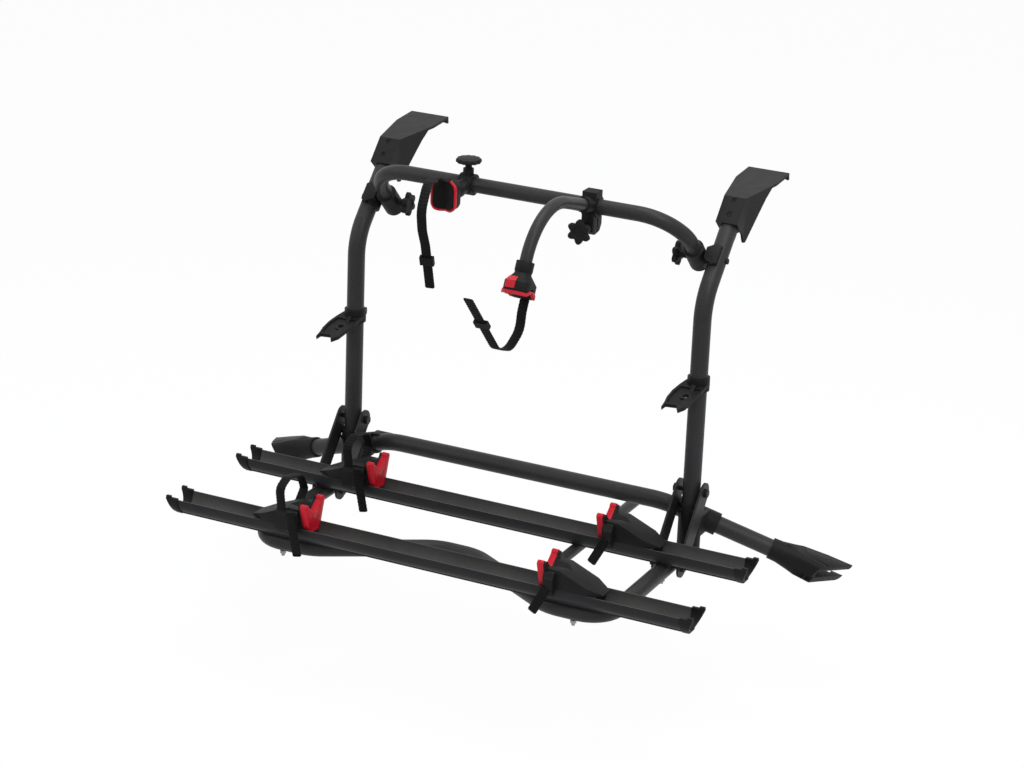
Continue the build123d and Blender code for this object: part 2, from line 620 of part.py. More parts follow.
def clamp_bolt():
    """Bolt held in the ring on the post: the bar's end turns on it and the knob screws on to its tip."""
    tip_x = BAR_END_X - BAR_D / 2 - CLAMP_WALL - SLIP - CLAMP_BOLT_GRIP
    head_x = POST_X - POST_D / 2 - SEAT
    shank = rod((tip_x, CROSS.Y, CROSS.Z), (head_x, CROSS.Y, CROSS.Z), CLAMP_BOLT_D)
    head = rod((head_x - CLAMP_BOLT_HEAD, CROSS.Y, CROSS.Z), (head_x, CROSS.Y, CROSS.Z), CLAMP_BOLT_HEAD_D)
    return single(shank + head)


def clamp_knob():
    """Star knob that screws on to the clamp bolt and presses the bar's end against the ring."""
    inner_x = BAR_END_X - BAR_D / 2 - CLAMP_WALL - SLIP
    knob = star_knob((inner_x, CROSS.Y, CROSS.Z), (-1, 0, 0))
    bore = rod((inner_x + 1, CROSS.Y, CROSS.Z), (inner_x - CLAMP_BOLT_GRIP - SLIP, CROSS.Y, CROSS.Z),
               CLAMP_BOLT_D + 2 * RUNNING)
    return single(knob - bore)


def top_hook():
    """Bracket on the post end: socket, front face, top plate over the door edge and a side web."""
    x, t = POST_X, HOOK_T
    socket_foot = POST_TOP - POST_TOP_DIR * 44
    face = Vector(0, -math.cos(LEAN), math.sin(LEAN))
    front = socket_foot + face * (POST_D / 2 + 4)
    knee = front + POST_TOP_DIR * ((HOOK_NEAR_Z - 12 - front.Z) / POST_TOP_DIR.Z)
    back = socket_foot - face * (POST_D / 2 + 4)

    def under(y):
        return HOOK_NEAR_Z - t + HOOK_SLOPE * (y - HOOK_NEAR_Y)
    outline = make_face(Plane.YZ * Polyline(
        (front.Y, front.Z), (knee.Y, knee.Z), (HOOK_NEAR_Y, HOOK_NEAR_Z), (HOOK_FAR_Y, HOOK_FAR_Z),
        (HOOK_FAR_Y + HOOK_SLOPE * HOOK_LIP, HOOK_FAR_Z - HOOK_LIP),
        (HOOK_FAR_Y + HOOK_SLOPE * HOOK_LIP - t, HOOK_FAR_Z - HOOK_LIP), (HOOK_FAR_Y - t, under(HOOK_FAR_Y - t)),
        (HOOK_WEB_Y, under(HOOK_WEB_Y)), (HOOK_WEB_Y - 14, 688), (HOOK_WEB_Y - 45, 608), (HOOK_WEB_Y - 54, 608),
        (HOOK_WEB_Y - 72, 626), (back.Y + 10, back.Z + 6), (back.Y, back.Z), close=True))
    solid = Location((x, 0, 0)) * extrude(outline, amount=HOOK_W / 2, both=True)
    taper = make_face(Plane.XY * Polyline((x - 24, -60), (x + 24, -60), (x + 26, 120), (x + HOOK_W / 2, HOOK_NEAR_Y),
                                          (x + HOOK_W / 2, HOOK_FAR_Y + 10), (x - HOOK_W / 2, HOOK_FAR_Y + 10),
                                          (x - HOOK_W / 2, HOOK_NEAR_Y), (x - 26, 120), close=True))
    solid &= extrude(taper, amount=1000, dir=(0, 0, 1))
    solid -= rod(Vector(x, 0, 0) + POST_TOP - POST_TOP_DIR * 80, Vector(x, 0, 0) + POST_TOP + POST_TOP_DIR * SLIP,
                 POST_D + 2 * SEAT)
    for along in HOOK_SCREWS_ALONG:
        hole = Vector(x, 0, 0) + POST_CORNER + POST_TOP_DIR * along
        solid -= rod(hole, hole + face * 60, HOOK_SCREW_D)
    return single(solid)


def hook_screws():
    """Two button-head screws through the hook's front face into the post."""
    x = POST_X
    face = Vector(0, -math.cos(LEAN), math.sin(LEAN))
    solids = []
    for along in HOOK_SCREWS_ALONG:
        base = Vector(x, 0, 0) + POST_CORNER + POST_TOP_DIR * along + face * (POST_D / 2 + 4)
        shank = rod(base - face * 12, base, HOOK_SCREW_D - 2 * SEAT)
        head = rod(base, base + face * 4, HOOK_SCREW_D + 6)
        solids.append(single(shank + fillet(head.edges().filter_by(GeomType.CIRCLE), 1.5)))
    return Compound(children=solids)


def latch_ring():
    """Split ring round the post with a screw lug at the back."""
    ring = Location((POST_X, 0, LATCH_Z)) * Cylinder(POST_D / 2 + 5, LATCH_RING_H)
    lug = Location((POST_X, POST_D / 2 + 10, LATCH_Z)) * Box(18, 20, LATCH_RING_H - 12)
    ring += fillet(lug.edges().filter_by(Axis.X).group_by(Axis.Y)[-1], 5)
    ring -= Location((POST_X, 0, LATCH_Z)) * Cylinder(POST_D / 2 + RUNNING, LATCH_RING_H + 10)
    ring -= Location((POST_X, POST_D / 2 + 12, LATCH_Z)) * Box(3, 30, LATCH_RING_H + 2)
    return ring


def latch_hook():
    """Ring on the post with a sloping beak that steadies the folded platform's side tube."""
    reach, half = LATCH_REACH, POST_D / 2 + 5
    outline = make_face(Polyline(
        (-half, 6), (-half - 9, -22), (-half - 15, -50), (-half - 16, -78), (-half - 13, -reach + 20), (-37, -reach),
        (-33, -reach + 14), (-9, -reach + 17), (1, -reach), (12, -reach + 16), (half - 2, -40), (half, 6), close=True))
    rim = make_face(Polyline((-half - 3, -30), (-half - 9, -55), (-half - 10, -76), (-33, -reach + 20),
                             (-10, -reach + 23), (half - 8, -44), (half - 6, -30), close=True))
    plate = extrude(outline, amount=LATCH_T, dir=(0, 0, 1))
    plate -= Location((0, 0, LATCH_T - 3)) * extrude(rim, amount=10, dir=(0, 0, 1))
    eye = Location((-3, -62, 0)) * (Cylinder(LATCH_EYE_D / 2 + 6, LATCH_T, align=(Align.CENTER, Align.CENTER, Align.MIN)))
    plate += eye
    plate -= Location((-3, -62, 0)) * Cylinder(LATCH_EYE_D / 2, 60)
    plate = Location((POST_X, 0, LATCH_Z - 4)) * (Rotation(LATCH_SLOPE, 0, 0) * plate)
    gusset = make_face(Plane.YZ * Polyline((-half + 2, LATCH_Z - 14), (-half + 2, LATCH_Z + 4), (-46, LATCH_Z - 12),
                                           (-40, LATCH_Z - 16), close=True))
    plate += Location((POST_X, 0, 0)) * extrude(gusset, amount=5, both=True)
    plate -= Location((POST_X, 0, LATCH_Z)) * Cylinder(half - 2, 80)
    body = plate + latch_ring()
    return single(body)


def post_copies(maker):
    """Left and right pieces of the same hand, one on each post."""
    right = maker()
    return at_x(right, -2 * POST_X), right


def wheel_strap(x, y, looped):
    """Ladder strap from the anchor behind the holder over to the buckle, with its tail hanging in front."""
    side = RAIL_WIDTH / 2
    if looped:
        points = [(side + 5, -10), (side + 5, 40), (side + 14, 96), (side - 30, 118), (-side - 12, 92),
                  (-side - 20, 54), (-side - 5, 34), (-side - 5, 20)]
        radii = [60, 26, 30, 24, 9, 9]
    else:
        points = [(side + 5, -10), (side + 5, RAMP_TOP + 3), (-side - 5, RAMP_TOP + 3), (-side - 5, 20)]
        radii = [6, 6]
    loop = strap_along(points, radii, (x, y, 0), 0)
    lean = math.radians(24)
    tail = Location((0, 0, -29)) * Box(STRAP_W, STRAP_T, 62)
    tail = chamfer(tail.edges().filter_by(Axis.Y).group_by(Axis.Z)[0], 6)
    tail = Location((x, y - side - 5, -10)) * (Rotation(0, math.degrees(lean), 0) * tail)
    return single(loop + tail)


def strap_buckle(x, y):
    """Buckle box on the holder's front flank with a thumb lever."""
    side = RAIL_WIDTH / 2
    box = Location((x, y - side - 5 - SLIP / 2, 12)) * Box(STRAP_W + 8, 10 - SLIP, 26)
    box = fillet(box.edges().filter_by(Axis.X).group_by(Axis.Y)[0], 3)
    lever = Location((x, y - side - 12, 20)) * (Rotation(-18, 0, 0) * Box(STRAP_W - 2, 4, 24))
    slot = Location((x, y - side - 5, 12)) * Box(STRAP_W + 2 * SLIP, STRAP_T + 2 * SLIP, 60)
    return single(box + lever - slot)


SHORT_STRAP = [(4, 744.5), (34, 744.5), (96, 772), (165, 775), (209, 728), (196, 680), (168, 640), (120, 529)]
SHORT_STRAP_R = [40, 60, 40, 34, 60, 80]
LONG_STRAP = [(353.5, 595.4), (371.6, 557.5), (378, 520), (430, 492), (490, 512), (625, 658)]
LONG_STRAP_R = [60, 40, 50, 60]


def build_frame():
    for name, solid in zip(("left_post", "right_post"), both(post)):
        keep(name, solid)
    keep("post_end_plugs", *both(post_plug))
    keep("lower_tube", lower_tube())
    keep("tee_joints", *both(tee_joint))
    for name, solid in zip(("left_foot", "right_foot"), both(foot)):
        keep(name, solid)
    for name, solid in zip(("left_top_hook", "right_top_hook"), both(top_hook)):
        keep(name, solid)
    keep("bar_clamps", *both(bar_clamp))
    keep("clamp_bolts", *both(clamp_bolt))
    keep("hook_screws", *both(hook_screws))
    keep("hinge_bolts", *both(lambda: hinge_bolt(0, HINGE_Z)))
    for name, solid in zip(("left_latch_hook", "right_latch_hook"), post_copies(latch_hook)):
        keep(name, solid)


def build_platform():
    plates = [hinge_plate(-1), hinge_plate(1)]
    keep("hinge_plates", *[mirror_x(p) for p in plates], *plates)
    keep("platform_bolts", *both(lambda: hinge_bolt(PLATE_FOOT_Y, PLATFORM_Z)))
    keep("platform_tube", platform_tube())
    keep("rail_bolts", *[rail_bolt(x, y) for x, y in rail_bolt_places()])
    keep("stay_bar", stay_bar())
    keep("stay_bar_pad", stay_pad())
    keep("rail_end_caps", *both(lambda: end_cap(FRONT_RAIL_Y)), *both(lambda: end_cap(REAR_RAIL_Y)))
    for row, y in (("front", FRONT_RAIL_Y), ("rear", REAR_RAIL_Y)):
        keep(f"{row}_rail", rail(y))
        for side, body, fork in zip(("left", "right"), both(lambda: holder_body(y)), both(lambda: chock(y))):
            keep(f"{row}_{side}_wheel_holder", body)
            keep(f"{row}_{side}_wheel_chock", fork)
        keep(f"{row}_left_wheel_strap", mirror_x(wheel_strap(STRAP_X["left"], y, True)))
        keep(f"{row}_right_wheel_strap", wheel_strap(STRAP_X["right"], y, False))
        keep(f"{row}_left_strap_buckle", mirror_x(strap_buckle(STRAP_X["left"], y)))
        keep(f"{row}_right_strap_buckle", strap_buckle(STRAP_X["right"], y))


def build_crossbar():
    keep("crossbar", crossbar())
    for name, maker in (("bar_socket", bar_socket), ("clamp_knob", clamp_knob)):
        for side, solid in zip(("left", "right"), both(maker)):
            keep(f"{side}_{name}", solid)


def build_arms():
    origin = (SHORT_ARM_X, BAR_Y - 99, 0)
    keep("short_arm_clamp", short_arm_clamp())
    keep("short_arm_knob", short_arm_knob())
    for name, solid in zip(("jaw", "jaw_rim", "jaw_pad"), short_arm_jaw()):
        keep(f"short_arm_{name}", solid)
    keep("short_arm_strap", strap_along(SHORT_STRAP, SHORT_STRAP_R, origin, 12))
    keep("short_arm_strap_keeper", strap_keeper((150.7, 600), 23.4, origin, 12))
    keep("long_arm_clamp", long_arm_clamp())
    keep("long_arm_tube", long_arm_tube())
    keep("long_arm_knob", long_arm_knob())
    for name, solid in zip(("jaw", "jaw_rim", "jaw_pad"), long_arm_jaw()):
        keep(f"long_arm_{name}", solid)
    keep("long_arm_strap", strap_along(LONG_STRAP, LONG_STRAP_R, (LONG_ARM_X, 0, 0), 0))
    keep("long_arm_strap_keeper", strap_keeper((557.5, 585), 42.8, (LONG_ARM_X, 0, 0), 0))


def main():
    build_frame()
    build_platform()
    build_crossbar()
    build_arms()
    os.makedirs("parts", exist_ok=True)
    for name, shape in PARTS.items():
        export_step(shape, f"parts/{name}.step")
    print(len(PARTS), "nodes")


main()
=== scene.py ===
"""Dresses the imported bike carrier: a procedural finish on every solid, detailed pieces in place of the plainer
nodes, a pale floor, soft light and the camera."""
import json
import math
import bmesh
import bpy
from mathutils import Matrix, Vector


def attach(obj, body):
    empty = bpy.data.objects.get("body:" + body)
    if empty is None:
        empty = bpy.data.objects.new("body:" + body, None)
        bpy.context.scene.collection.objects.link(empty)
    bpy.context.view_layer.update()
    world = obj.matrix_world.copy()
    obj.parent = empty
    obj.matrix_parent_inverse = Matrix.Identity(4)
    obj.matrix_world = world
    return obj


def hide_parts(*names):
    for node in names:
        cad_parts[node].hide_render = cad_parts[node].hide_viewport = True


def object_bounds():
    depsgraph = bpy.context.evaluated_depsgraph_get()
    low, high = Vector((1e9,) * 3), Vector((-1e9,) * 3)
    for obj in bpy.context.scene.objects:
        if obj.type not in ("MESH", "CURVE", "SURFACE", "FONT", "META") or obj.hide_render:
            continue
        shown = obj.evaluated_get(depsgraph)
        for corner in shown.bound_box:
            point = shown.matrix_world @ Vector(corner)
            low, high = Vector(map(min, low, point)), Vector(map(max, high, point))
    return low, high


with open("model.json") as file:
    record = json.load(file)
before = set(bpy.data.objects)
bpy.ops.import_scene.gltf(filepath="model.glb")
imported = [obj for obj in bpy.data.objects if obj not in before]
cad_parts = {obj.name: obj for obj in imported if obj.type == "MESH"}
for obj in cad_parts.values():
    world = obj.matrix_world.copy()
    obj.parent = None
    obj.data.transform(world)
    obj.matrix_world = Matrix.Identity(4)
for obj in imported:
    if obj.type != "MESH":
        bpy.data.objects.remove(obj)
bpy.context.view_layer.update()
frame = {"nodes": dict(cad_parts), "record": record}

# Where the drawing frame's zero lies from the part's origin, in metres
ORIGIN = Vector((0.0, 0.2945, 0.724406))
# Front rail's centre line and the distance between the rails, in metres of the scene
RAIL_MIDDLE, RAIL_PITCH = -0.7365, 0.298


def srgb(r, g, b):
    """Linear colour from 0 to 255 display values."""
    def one(v):
        v /= 255.0
        return v / 12.92 if v <= 0.04045 else ((v + 0.055) / 1.055) ** 2.4
    return (one(r), one(g), one(b), 1.0)


class Nodes:
    """Short way to add and link shader nodes."""

    def __init__(self, name):
        self.material = bpy.data.materials.new(name)
        self.material.use_nodes = True
        self.tree = self.material.node_tree
        self.shader = self.tree.nodes["Principled BSDF"]

    def add(self, kind, **values):
        node = self.tree.nodes.new(kind)
        for key, value in values.items():
            if key in node.inputs:
                node.inputs[key].default_value = value
            else:
                setattr(node, key, value)
        return node

    def link(self, out, into):
        self.tree.links.new(out, into)

    def noise(self, coords, scale, detail, rough):
        node = self.add("ShaderNodeTexNoise", Scale=scale, Detail=detail, Roughness=rough)
        self.link(coords, node.inputs["Vector"])
        return node.outputs["Fac"]

    def ramp(self, fac, stops):
        node = self.add("ShaderNodeValToRGB")
        elements = node.color_ramp.elements
        while len(elements) < len(stops):
            elements.new(0.5)
        for element, (place, colour) in zip(elements, stops):
            element.position = place
            element.color = colour
        self.link(fac, node.inputs["Fac"])
        return node.outputs["Color"]

    def mix(self, fac, a, b):
        node = self.add("ShaderNodeMix", data_type="RGBA")
        for socket, value in ((node.inputs[0], fac), (node.inputs[6], a), (node.inputs[7], b)):
            if hasattr(value, "default_value") or not isinstance(value, (tuple, float)):
                self.link(value, socket)
            else:
                socket.default_value = value
        return node.outputs[2]

    def calc(self, how, a, b):
        node = self.add("ShaderNodeMath", operation=how)
        for socket, value in zip(node.inputs, (a, b)):
            if isinstance(value, float):
                socket.default_value = value
            else:
                self.link(value, socket)
        return node.outputs[0]

    def span(self, value, to, start=(0.0, 1.0)):
        """Value carried from one range to another."""
        node = self.add("ShaderNodeMapRange")
        node.inputs["From Min"].default_value, node.inputs["From Max"].default_value = start
        node.inputs["To Min"].default_value, node.inputs["To Max"].default_value = to
        self.link(value, node.inputs["Value"])
        return node.outputs["Result"]

    def parts(self, vector):
        """The vector's own x, y and z."""
        node = self.add("ShaderNodeSeparateXYZ")
        self.link(vector, node.inputs[0])
        return node.outputs

    def bump(self, height, strength, distance):
        node = self.add("ShaderNodeBump", Strength=strength, Distance=distance)
        self.link(height, node.inputs["Height"])
        return node.outputs["Normal"]


def direct_rays(tree):
    """Socket that is 1 for camera, glossy and transmission rays, and 0 for the rays that light the scene."""
    path, seen, through = (tree.nodes.new("ShaderNode" + kind) for kind in ("LightPath", "Math", "Math"))
    seen.operation = through.operation = "MAXIMUM"
    for out, into in (("Is Camera Ray", seen.inputs[0]), ("Is Glossy Ray", seen.inputs[1]),
                      ("Is Transmission Ray", through.inputs[1])):
        tree.links.new(path.outputs[out], into)
    tree.links.new(seen.outputs[0], through.inputs[0])
    return through.outputs[0]


def inside_trough(n):
    """Socket that is 1 where a rail's surface looks up or towards the middle line, and 0 outside: painted light's
    mask.
    """
    reach, soft = 0.03, 0.004
    coords = n.add("ShaderNodeTexCoord").outputs
    place, facing = n.parts(coords["Object"]), n.parts(coords["Normal"])
    off = n.add("ShaderNodeMath", operation="WRAP")
    n.link(n.calc("SUBTRACT", place["Y"], RAIL_MIDDLE), off.inputs[0])
    off.inputs[1].default_value, off.inputs[2].default_value = RAIL_PITCH / 2, -RAIL_PITCH / 2
    across = n.calc("MULTIPLY", off.outputs[0], facing["Y"])
    inward = n.calc("SUBTRACT", n.calc("MULTIPLY", facing["Z"], reach), across)
    return n.span(inward, (0.0, 1.0), (-soft, soft))


def finish_material(name, dark, light, edge, rough, grain, grain_depth, metallic=0.0, specular=0.5, wear=0.5,
                    dust=0.0, stretch=None, trough=None):
    """Base finish: patchy colour, worn light edges, uneven gloss and a fine grain. A trough gets painted light
    inside.
    """
    n = Nodes(name)
    coords = n.add("ShaderNodeTexCoord").outputs["Object"]
    fine = coords
    if stretch:
        mapping = n.add("ShaderNodeMapping")
        mapping.inputs["Scale"].default_value = stretch
        n.link(coords, mapping.inputs["Vector"])
        fine = mapping.outputs["Vector"]
    patches = n.noise(coords, 9.0, 4.0, 0.6)
    colour = n.ramp(patches, [(0.3, dark), (0.7, light)])
    if trough:
        # Painted light: where the rail's inside faces up and inwards it takes lighter colours, as if lit.
        lit_inside_dark, lit_inside_light = trough
        colour = n.mix(inside_trough(n), colour, n.ramp(patches, [(0.3, lit_inside_dark), (0.7, lit_inside_light)]))
    geometry = n.add("ShaderNodeNewGeometry").outputs
    edges = n.span(geometry["Pointiness"], (0.0, 1.0), (0.53, 0.62))
    broken = n.span(n.noise(fine, 140.0, 5.0, 0.7), (0.2, 1.0))
    colour = n.mix(n.calc("MULTIPLY", n.calc("MULTIPLY", edges, broken), wear), colour, edge)
    if dust:
        upward = n.span(n.parts(geometry["Normal"])["Z"], (0.0, dust))
        colour = n.mix(n.calc("MULTIPLY", upward, n.noise(coords, 60.0, 6.0, 0.7)), colour, srgb(120, 116, 110))
    n.link(colour, n.shader.inputs["Base Color"])
    n.link(n.span(n.noise(fine, 35.0, 4.0, 0.6), (rough - 0.08, rough + 0.1)), n.shader.inputs["Roughness"])
    n.shader.inputs["Metallic"].default_value = metallic
    n.shader.inputs["Specular IOR Level"].default_value = specular
    n.link(n.bump(n.noise(fine, grain, 2.0, 0.5), 0.5, grain_depth), n.shader.inputs["Normal"])
    return n.material


MATERIALS = {
    "tube_black": finish_material("satin_powder_coat", srgb(36, 36, 37), srgb(42, 42, 43), srgb(80, 80, 82), 0.40,
                                  1500.0, 0.00012, wear=0.3, dust=0.05, specular=0.17),
    "rail_grey": finish_material("anodised_rail", srgb(24, 24, 25), srgb(29, 29, 30), srgb(66, 66, 68), 0.42,
                                 900.0, 0.00008, wear=0.4, stretch=(0.05, 1.0, 1.0), specular=0.07,
                                 # The trough colours are painted light: the rail's inside, facing up, is drawn
                                 # lighter than its outside.
                                 trough=(srgb(66, 65, 64), srgb(76, 75, 74))),
    "steel_dark": finish_material("black_zinc_steel", srgb(22, 22, 23), srgb(28, 28, 29), srgb(66, 66, 68), 0.40,
                                  1100.0, 0.0001, wear=0.4, specular=0.12),
    "plastic_black": finish_material("moulded_black_nylon", srgb(20, 20, 21), srgb(26, 26, 27), srgb(48, 48, 50),
                                     0.50, 1300.0, 0.00025, wear=0.3, dust=0.04, specular=0.1),
    "plastic_red": finish_material("moulded_red_nylon", srgb(176, 14, 32), srgb(190, 18, 38), srgb(216, 84, 94),
                                   0.42, 1100.0, 0.00018, wear=0.25, specular=0.18),
    "rubber_black": finish_material("strap_rubber", srgb(14, 14, 15), srgb(19, 19, 20), srgb(38, 38, 40), 0.55,
                                    1700.0, 0.0002, wear=0.2, specular=0.08),
    "bolt_steel": finish_material("zinc_plated_steel", srgb(120, 120, 120), srgb(150, 150, 148),
                                  srgb(190, 190, 189), 0.32, 900.0, 0.00006, metallic=1.0, wear=0.4),
}

for part in frame["record"]["subparts"]:
    node = frame["nodes"][part["node"]]
    for place in node.material_slots:
        place.material = MATERIALS[part["material_slot"]]


def spot(p):
    """Scene position in metres of a point given in millimetres of the drawing frame."""
    return Vector(p) * 0.001 - ORIGIN


def unit(v):
    return Vector(v).normalized()


def axes(origin, z, x=(1.0, 0.0, 0.0)):
    """Local frame as a mapper: along x, along y and along z from an origin."""
    origin, z = Vector(origin), unit(z)
    x = unit(Vector(x) - z * Vector(x).dot(z))
    y = z.cross(x)
    return lambda u, v, w=0.0: origin + x * u + y * v + z * w


def rounded(width, height, radius):
    """Outline of a rounded rectangle, with the same number of points for every size."""
    radius, steps = min(radius, width / 2, height / 2), 9
    points = []
    for index, (sx, sy) in enumerate(((1, 1), (-1, 1), (-1, -1), (1, -1))):
        for step in range(steps + 1):
            turn = math.radians(90 * index + 90 * step / steps)
            points.append((sx * (width / 2 - radius) + radius * math.cos(turn),
                           sy * (height / 2 - radius) + radius * math.sin(turn)))
    return points


def circle(diameter):
    return rounded(diameter, diameter, diameter / 2)


def hexagon(radius, turn=0.0):
    """Six corners, turned by a share of a sixth of a turn."""
    return [(radius * math.cos(math.tau * (k + turn) / 6), radius * math.sin(math.tau * (k + turn) / 6))
            for k in range(6)]


def as_object(bm):
    mesh = bpy.data.meshes.new("part")
    bm.to_mesh(mesh)
    bm.free()
    obj = bpy.data.objects.new("part", mesh)
    bpy.context.collection.objects.link(obj)
    return obj


def as_solid(bm):
    """Object from a closed surface, with joined corners and outward faces."""
    bmesh.ops.remove_doubles(bm, verts=bm.verts, dist=1e-6)
    bmesh.ops.recalc_face_normals(bm, faces=bm.faces)
    return as_object(bm)


def loft(rings):
    """Closed solid through rings of equally many points, given in millimetres."""
    bm = bmesh.new()
    rows = [[bm.verts.new(spot(p)) for p in ring] for ring in rings]
    for low, high in zip(rows, rows[1:]):
        for i in range(len(low)):
            j = (i + 1) % len(low)
            bm.faces.new((low[i], low[j], high[j], high[i]))
    bm.faces.new(rows[0])
    bm.faces.new(rows[-1])
    return as_solid(bm)


def prism(outline, put, low, high):
    """Outline extruded between two depths of a local frame."""
    return loft([[put(u, v, low) for u, v in outline], [put(u, v, high) for u, v in outline]])


def yz_prism(outline, x0, x1):
    return prism(outline, lambda u, v, w: Vector((w, u, v)), x0, x1)


def rod(a, b, diameter):
    way = Vector(b) - Vector(a)
    put = axes(a, way, (1, 0, 0) if abs(unit(way).x) < 0.9 else (0, 1, 0))
    return prism(circle(diameter), put, 0, way.length)


def box(centre, size):
    put = axes(centre, (0, 0, 1))
    w, d, h = (v / 2 for v in size)
    return prism([(-w, -d), (w, -d), (w, d), (-w, d)], put, -h, h)


def settle(obj):
    """Applies the object's modifiers."""
    bpy.context.view_layer.update()
    mesh = bpy.data.meshes.new_from_object(obj.evaluated_get(bpy.context.evaluated_depsgraph_get()))
    obj.modifiers.clear()
    obj.data = mesh
    return obj


def combine(base, how, *others):
    for other in others:
        step = base.modifiers.new("step", "BOOLEAN")
        step.operation = how
        step.solver = "EXACT"
        step.object = other
        settle(base)
        bpy.data.objects.remove(other)
    return base


def cut(base, *others):
    return combine(base, "DIFFERENCE", *others)


def fuse(base, *others):
    return combine(base, "UNION", *others)


def overlap(base, *others):
    return combine(base, "INTERSECT", *others)


def mirrored(obj):
    """Copy on the other side of the middle plane."""
    bm = bmesh.new()
    bm.from_mesh(obj.data)
    for vert in bm.verts:
        vert.co.x = -vert.co.x
    bmesh.ops.reverse_faces(bm, faces=bm.faces)
    return as_solid(bm)


def for_hand(obj, hand):
    """The piece itself on the right-hand side, and its mirror image in its stead on the left."""
    if hand == "right":
        return obj
    left = mirrored(obj)
    bpy.data.objects.remove(obj)
    return left


def gather(objects):
    """One object from several, left side by side."""
    bm = bmesh.new()
    for obj in objects:
        bm.from_mesh(obj.data)
        bpy.data.objects.remove(obj)
    return as_object(bm)


BODY_OF = {node: body for body, nodes in frame["record"]["behaviour"]["bodies"].items() for node in nodes}


def dress(obj, manner, node, slot, bevel):
    """Softens the edges, names the piece after its node, gives it its body and its finish, and hides that node."""
    name, body, nodes = f"{manner}_{node}", BODY_OF[node], (node,)
    if bevel:
        step = obj.modifiers.new("edges", "BEVEL")
        step.width = bevel * 0.001
        step.segments = 2
        step.limit_method = "ANGLE"
        step.angle_limit = math.radians(38)
        settle(obj)
    obj.name = name
    obj.data.name = name
    obj.data.shade_smooth()
    obj.data.set_sharp_from_angle(angle=math.radians(40))
    obj.data.materials.clear()
    obj.data.materials.append(MATERIALS[slot])
    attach(obj, body)
    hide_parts(*nodes)


# Sizes shared with the part's drawing, in millimetres
POST_X, POST_BORE = 430.0, 40.4
LEAN = math.radians(42.0)
POST_DIR = Vector((0.0, math.sin(LEAN), math.cos(LEAN)))
POST_FACE = Vector((0.0, -math.cos(LEAN), math.sin(LEAN)))
POST_CORNER = Vector((0.0, 0.0, 523.0))
POST_TOP = POST_CORNER + POST_DIR * 226.0
RAIL_Y = {"front": -442.0, "rear": -144.0}
RAIL_WIDTH = 67.0
BAR_Y, BAR_Z, BAR_BORE = -38.0, 707.0, 34.1
CROSS_Y, CROSS_Z = 69.17, 599.83
SHORT_X, LONG_X = -131.0, 172.0
ARM_START, ARM_KNEE, ARM_END = (Vector((LONG_X, y, z)) for y, z in ((-64.0, 714.7), (-305.0, 786.09),
                                                                    (-370.87, 648.0)))
ARM_BORE, BOLT_BORE = 27.4, 8.2
CHOCK_T, STRAP_W, STRAP_GAP = 15.0, 24.0, 5.0
# Where each hand's fork stands and its ramp ends along the rail, as the photograph shows them
HOLDERS = (("left", 276.0, 425.0), ("right", 284.0, 429.0))
# Each hand's tail: where its top is along the rail and upwards, its length, and its lean in degrees
TAILS = (("left", 311.0, 42.0, 102.0, 11.5), ("right", 312.0, 4.0, 66.0, 28.0))
LOOP_X = 338.0


def lower_point(x):
    """Point on the lower tube's centre line outside its corners."""
    return Vector((x, 42.0 + 0.28 * (x - 350.0), 24.5 - 0.365 * (x - 350.0)))


def turned(put, rows, wave):
    """Solid turned about a local axis through (radius, height, lobe depth) rows, with lobes of the given wave."""
    rings, steps = [], 96
    for radius, height, lobes in rows:
        ring = []
        for step in range(steps):
            turn = math.tau * step / steps
            reach = radius + lobes * wave(turn)
            ring.append(put(reach * math.cos(turn), reach * math.sin(turn), height))
        rings.append(ring)
    return loft(rings)


def star_knob(origin, direction, stem):
    """Six-lobed knob on a hub of the given length, with a dished face."""
    head = ((12, -1, 0), (17, 0, 7), (19, 1.5, 9), (19, 9.5, 9), (17.5, 11.5, 8), (15, 12, 4), (13, 12, 0),
            (11, 9.6, 0), (3, 9.2, 0))
    rows = [(9, 0, 0), (8.5, stem * 0.6, 0)] + [(radius, stem + rise, lobes) for radius, rise, lobes in head]
    return turned(axes(origin, direction, (0, 0, 1)), rows, lambda turn: (0.5 + 0.5 * math.cos(6 * turn)) ** 0.7)


def mushroom_knob(origin):
    """Wide thin knob with shallow scallops on a waisted stem."""
    rows = ((9, 0, 0), (7.5, 3, 0), (7.5, 7, 0), (11, 10, 0), (18, 12, 0), (26, 13, 1), (27.5, 14.5, 1.2),
            (27.5, 20, 1.2), (25.5, 22.5, 1), (17, 24, 0), (4, 24.5, 0))
    return turned(axes(origin, (0, 0, 1)), rows, lambda turn: math.cos(12 * turn))


def make_knobs():
    """Two knobs bored for the clamp bolts, and the arms' knobs with bolts of their own."""
    knob_x, bore, bore_depth, bolt = 357.4, 8.3, 14.3, 8
    for node, side in (("left_clamp_knob", -1), ("right_clamp_knob", 1)):
        face, floor = (Vector((side * x, CROSS_Y, CROSS_Z)) for x in (knob_x + 1, knob_x - bore_depth))
        knob = star_knob((side * knob_x, CROSS_Y, CROSS_Z), (-side, 0, 0), 16)
        dress(cut(knob, rod(face, floor, bore)), "lobed", node, "plastic_black", 0)
    origin = Vector((LONG_X, BAR_Y - 23.3, BAR_Z - 44))
    stem = rod(origin + Vector((0, 46.6, 0)), origin + Vector((0, -2, 0)), bolt)
    dress(fuse(star_knob(origin, (0, -1, 0), 34), stem), "lobed", "long_arm_knob", "plastic_black", 0)
    origin = Vector((SHORT_X, BAR_Y, 743.3))
    stem = rod(origin - Vector((0, 0, 19)), origin + Vector((0, 0, 2)), bolt)
    dress(fuse(mushroom_knob(origin), stem), "mushroom", "short_arm_knob", "plastic_black", 0)


